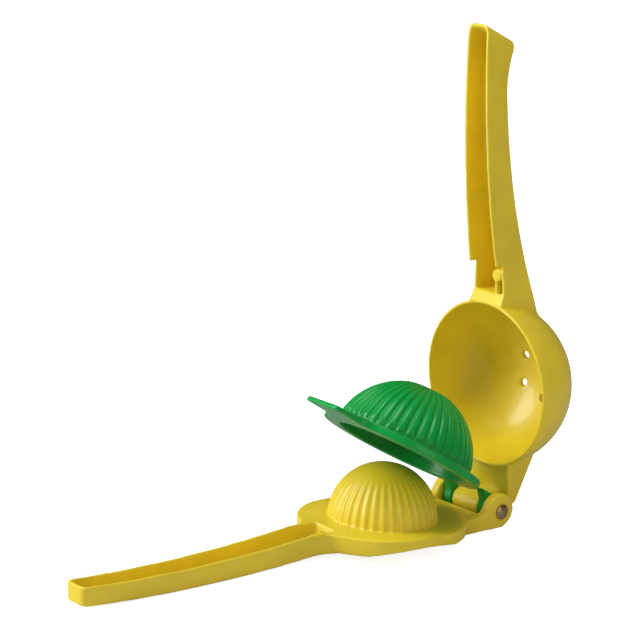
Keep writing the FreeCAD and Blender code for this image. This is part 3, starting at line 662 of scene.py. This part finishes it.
# Materials
class Finish:
    """Node material under construction."""

    def __init__(self, name):
        self.material = bpy.data.materials.new(name)
        self.material.use_nodes = True
        self.nodes = self.material.node_tree.nodes
        self.links = self.material.node_tree.links
        self.shader = self.nodes["Principled BSDF"]
        self.place = self.nodes.new("ShaderNodeTexCoord").outputs["Object"]

    def noise(self, scale, detail):
        """Noise in the object's own space; scale is in lumps per metre."""
        node = self.nodes.new("ShaderNodeTexNoise")
        node.inputs["Scale"].default_value = scale
        node.inputs["Detail"].default_value = detail
        self.links.new(self.place, node.inputs["Vector"])
        return node.outputs["Fac"]

    def ramp(self, source, stops):
        """Colours of a value, from (position, colour) pairs."""
        node = self.nodes.new("ShaderNodeValToRGB")
        while len(node.color_ramp.elements) < len(stops):
            node.color_ramp.elements.new(0.5)
        for element, (position, colour) in zip(node.color_ramp.elements, stops):
            element.position = position
            element.color = colour
        self.links.new(source, node.inputs["Fac"])
        return node.outputs["Color"]

    def spread(self, source, low, high):
        """Value of a 0 to 1 source moved to a range."""
        node = self.nodes.new("ShaderNodeMapRange")
        node.inputs["To Min"].default_value = low
        node.inputs["To Max"].default_value = high
        self.links.new(source, node.inputs["Value"])
        return node.outputs["Result"]

    def bump(self, source, strength, distance, before=None):
        """Bump of a height, in metres."""
        node = self.nodes.new("ShaderNodeBump")
        node.inputs["Strength"].default_value = strength
        node.inputs["Distance"].default_value = distance
        self.links.new(source, node.inputs["Height"])
        if before:
            self.links.new(before, node.inputs["Normal"])
        return node.outputs["Normal"]

    def feed(self, socket, source):
        """Link a source to one of the shader's sockets."""
        self.links.new(source, self.shader.inputs[socket])


def shade(colour, factor):
    """Colour made darker or lighter."""
    return tuple(min(channel * factor, 1.0) for channel in colour[:3]) + (1.0,)


def enamel(name, colour, rough, coat, mirror):
    """Stoved enamel on a casting: slightly wavy, with small changes of tone and gloss."""
    finish = Finish(name)
    tone = finish.ramp(finish.noise(55.0, 3.0), [(0.35, shade(colour, 0.93)), (0.65, shade(colour, 1.04))])
    finish.feed("Base Color", tone)
    finish.feed("Roughness", finish.spread(finish.noise(140.0, 3.0), rough - 0.04, rough + 0.05))
    waves = finish.bump(finish.noise(320.0, 1.0), 0.25, 0.00012)
    finish.feed("Normal", finish.bump(finish.noise(2600.0, 2.0), 0.15, 0.00003, waves))
    finish.shader.inputs["Coat Weight"].default_value = coat
    finish.shader.inputs["Coat Roughness"].default_value = 0.12
    finish.shader.inputs["Specular IOR Level"].default_value = mirror
    return finish.material


def rivet_metal(name, colour):
    """Tarnished steel with fine hammer marks."""
    finish = Finish(name)
    tone = finish.ramp(finish.noise(700.0, 4.0), [(0.3, shade(colour, 0.7)), (0.7, shade(colour, 1.1))])
    finish.feed("Base Color", tone)
    finish.feed("Roughness", finish.spread(finish.noise(1500.0, 3.0), 0.28, 0.45))
    finish.feed("Normal", finish.bump(finish.noise(1800.0, 3.0), 0.3, 0.00005))
    finish.shader.inputs["Metallic"].default_value = 1.0
    return finish.material


def finish_piece(obj, material, node, body):
    """Material and body of a piece that stands for a CAD node, whose mesh it hides."""
    obj.data.materials.append(material)
    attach(obj, body)
    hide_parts(node)
    return {"FINISHED"}


# Corners of the grid that each casting is cut from, in millimetres, and its step beside the press arm's
PRESS_GRID = ((-8.0, -38.0, -9.0), (211.0, 38.0, 29.0))
BOWL_GRID = ((-8.0, -40.0, -8.0), (214.0, 40.0, 44.5))
CUP_GRID = ((-8.0, -39.0, -8.0), (108.0, 39.0, 35.0))
BOWL_FINENESS = 0.85
CUP_FINENESS = 0.75


class SQUEEZER_OT_press_arm(bpy.types.Operator):
    """Cast the press arm: plate, fluted dome, lugs and lower handle"""

    bl_idname = "squeezer.press_arm"
    bl_label = "Press arm"

    def execute(self, context):
        step = context.scene.squeezer_sizes.mesh_step
        obj = cast("press_arm_cast", press_field, PRESS_GRID, step, 0.0)
        colour = context.scene.squeezer_colours.yellow
        coating = enamel("press_enamel", colour, rough=0.38, coat=0.25, mirror=0.45)
        return finish_piece(obj, coating, "press_arm", "press")


class SQUEEZER_OT_bowl_arm(bpy.types.Operator):
    """Cast the bowl arm: bowl, juice holes, neck, barrel and upper handle"""

    bl_idname = "squeezer.bowl_arm"
    bl_label = "Bowl arm"

    def execute(self, context):
        sizes = context.scene.squeezer_sizes
        obj = cast("bowl_arm_cast", bowl_field, BOWL_GRID, sizes.mesh_step * BOWL_FINENESS, sizes.bowl_angle)
        colour = context.scene.squeezer_colours.yellow
        coating = enamel("bowl_enamel", colour, rough=0.34, coat=0.25, mirror=0.45)
        return finish_piece(obj, coating, "bowl_arm", "bowl")


class SQUEEZER_OT_inner_cup(bpy.types.Operator):
    """Cast the inner cup: ribbed dome, flange, finger tab and ears"""

    bl_idname = "squeezer.inner_cup"
    bl_label = "Inner cup"

    def execute(self, context):
        sizes = context.scene.squeezer_sizes
        obj = cast("inner_cup_cast", cup_field, CUP_GRID, sizes.mesh_step * CUP_FINENESS, sizes.cup_angle)
        colour = context.scene.squeezer_colours.green
        coating = enamel("cup_enamel", colour, rough=0.28, coat=0.1, mirror=0.3)
        return finish_piece(obj, coating, "inner_cup", "cup")


class SQUEEZER_OT_hinge_pin(bpy.types.Operator):
    """Turn the riveted hinge pin"""

    bl_idname = "squeezer.hinge_pin"
    bl_label = "Hinge pin"

    def execute(self, context):
        sizes = context.scene.squeezer_sizes
        seat = sizes.lug_outer - sizes.head_seat
        near, far = (rounded_head(sizes.head_radius, seat, sizes.head_seat, sizes.head_rise, sign, 12)
                     for sign in (-1, 1))
        profile = near[::-1] + [(sizes.pin_radius, -seat), (sizes.pin_radius, seat)] + far
        obj = lathe("hinge_pin_turned", profile, 64)
        material = rivet_metal("rivet_steel", context.scene.squeezer_colours.steel)
        return finish_piece(obj, material, "hinge_pin", "press")


def lamp(name, place, aim, size, power, colour=(1.0, 1.0, 1.0)):
    """Soft area lamp that points at a place."""
    light = bpy.data.lights.new(name, "AREA")
    light.shape = "ELLIPSE"
    light.size, light.size_y = size
    light.energy = power
    light.color = colour
    obj = bpy.data.objects.new(name, light)
    obj.location = place
    obj.rotation_euler = (Vector(aim) - Vector(place)).to_track_quat("-Z", "Y").to_euler()
    bpy.context.scene.collection.objects.link(obj)


def studio_world(seen, lit, mirrored):
    """White world with one strength to the camera, one as a light and one in reflections."""
    world = bpy.data.worlds.new("studio")
    bpy.context.scene.world = world
    world.use_nodes = True
    nodes, links = world.node_tree.nodes, world.node_tree.links
    path = nodes.new("ShaderNodeLightPath")
    strength = None
    for ray, value in (("Is Glossy Ray", mirrored), ("Is Transmission Ray", seen), ("Is Camera Ray", seen)):
        level = nodes.new("ShaderNodeMapRange")
        level.inputs["To Min"].default_value = lit
        level.inputs["To Max"].default_value = value
        if strength:
            links.new(strength, level.inputs["To Min"])
        links.new(path.outputs[ray], level.inputs["Value"])
        strength = level.outputs["Result"]
    background = nodes["Background"]
    background.inputs["Color"].default_value = (1.0, 1.0, 1.0, 1.0)
    links.new(strength, background.inputs["Strength"])


def studio_floor(pale, mirrored, glow):
    """Wide pale floor that is white to the camera apart from the object's soft shadow."""
    half = 4.0
    corners = np.array([(-half, -half, 0), (half, -half, 0), (half, half, 0), (-half, half, 0)])
    floor = mesh_object("studio_floor", corners, np.array([[0, 1, 2, 3]]))
    material = bpy.data.materials.new("studio_floor")
    material.use_nodes = True
    nodes, links = material.node_tree.nodes, material.node_tree.links
    shader = nodes["Principled BSDF"]
    shader.inputs["Roughness"].default_value = 1.0
    shader.inputs["Specular IOR Level"].default_value = 0.0
    shader.inputs["Emission Color"].default_value = (1.0, 1.0, 1.0, 1.0)
    path = nodes.new("ShaderNodeLightPath")
    share = nodes.new("ShaderNodeMath")
    share.operation = "MULTIPLY"
    share.inputs[1].default_value = glow
    links.new(path.outputs["Is Camera Ray"], share.inputs[0])
    links.new(share.outputs[0], shader.inputs["Emission Strength"])
    paleness = nodes.new("ShaderNodeMapRange")
    paleness.inputs["To Min"].default_value = pale
    paleness.inputs["To Max"].default_value = mirrored
    links.new(path.outputs["Is Glossy Ray"], paleness.inputs["Value"])
    links.new(paleness.outputs["Result"], shader.inputs["Base Color"])
    floor.data.materials.append(material)


# Camera of the photograph, fitted to the castings' edges and given from the hinge in metres
CAMERA_FROM_HINGE = Vector((-0.66237, -0.6949, 0.30252))
CAMERA_RIGHT = Vector((0.77700, -0.62871, 0.03156))
CAMERA_UP = Vector((0.11825, 0.19500, 0.97365))
CAMERA_BACK = Vector((-0.61830, -0.75279, 0.22586))
SENSOR = 36.0
WARM = (1.0, 0.86, 0.72)
FOCAL_SHARE = 2246.89 / 640.0


class SQUEEZER_OT_stage(bpy.types.Operator):
    """Set the camera, the pale floor and the soft studio light"""

    bl_idname = "squeezer.stage"
    bl_label = "Stage"

    def execute(self, context):
        scene = context.scene
        scene.view_settings.view_transform = "Standard"
        camera = bpy.data.cameras.new("photograph_camera")
        camera.sensor_width = SENSOR
        camera.lens = SENSOR * FOCAL_SHARE
        camera.clip_end = 20.0
        obj = bpy.data.objects.new("photograph_camera", camera)
        turn = Matrix((CAMERA_RIGHT, CAMERA_UP, CAMERA_BACK)).transposed().to_4x4()
        obj.matrix_world = Matrix.Translation(HINGE + CAMERA_FROM_HINGE) @ turn
        scene.collection.objects.link(obj)
        scene.camera = obj
        studio_world(seen=1.0, lit=0.40, mirrored=0.05)
        studio_floor(scene.squeezer_colours.floor, mirrored=0.35, glow=0.85)
        aim = (0.02, 0.0, 0.07)
        lamp("key", (-1.0, 0.68, 0.65), aim, (0.55, 1.5), 15.0)
        lamp("fill", (-0.1, -1.4, 0.45), aim, (0.8, 0.8), 2.1, WARM)
        lamp("top", (-0.2, 0.1, 1.4), aim, (0.7, 0.7), 6.0)
        return {"FINISHED"}


STEPS = (
    SQUEEZER_OT_press_arm,
    SQUEEZER_OT_bowl_arm,
    SQUEEZER_OT_inner_cup,
    SQUEEZER_OT_hinge_pin,
    SQUEEZER_OT_stage,
)


class SQUEEZER_PT_panel(bpy.types.Panel):
    """Buttons for the squeezer's pieces and its stage"""

    bl_idname = "SQUEEZER_PT_panel"
    bl_label = "Lemon squeezer"
    bl_space_type = "VIEW_3D"
    bl_region_type = "UI"
    bl_category = "Squeezer"

    def draw(self, context):
        for step in STEPS:
            self.layout.operator(step.bl_idname)
        for group in (context.scene.squeezer_sizes, context.scene.squeezer_colours):
            box = self.layout.box()
            for name in group.bl_rna.properties.keys():
                if name not in ("rna_type", "name"):
                    box.prop(group, name)


CLASSES = (CastingSizes, FinishColours) + STEPS + (SQUEEZER_PT_panel,)


def register():
    """Register the classes and hang the two property groups on the scene."""
    for cls in CLASSES:
        bpy.utils.register_class(cls)
    bpy.types.Scene.squeezer_sizes = PointerProperty(type=CastingSizes)
    bpy.types.Scene.squeezer_colours = PointerProperty(type=FinishColours)


def unregister():
    """Take the property groups and the classes away again."""
    del bpy.types.Scene.squeezer_sizes
    del bpy.types.Scene.squeezer_colours
    for cls in reversed(CLASSES):
        bpy.utils.unregister_class(cls)


def main():
    """Build every piece and the stage."""
    register()
    bpy.ops.squeezer.press_arm()
    bpy.ops.squeezer.bowl_arm()
    bpy.ops.squeezer.inner_cup()
    bpy.ops.squeezer.hinge_pin()
    bpy.ops.squeezer.stage()


if __name__ == "__main__":
    main()
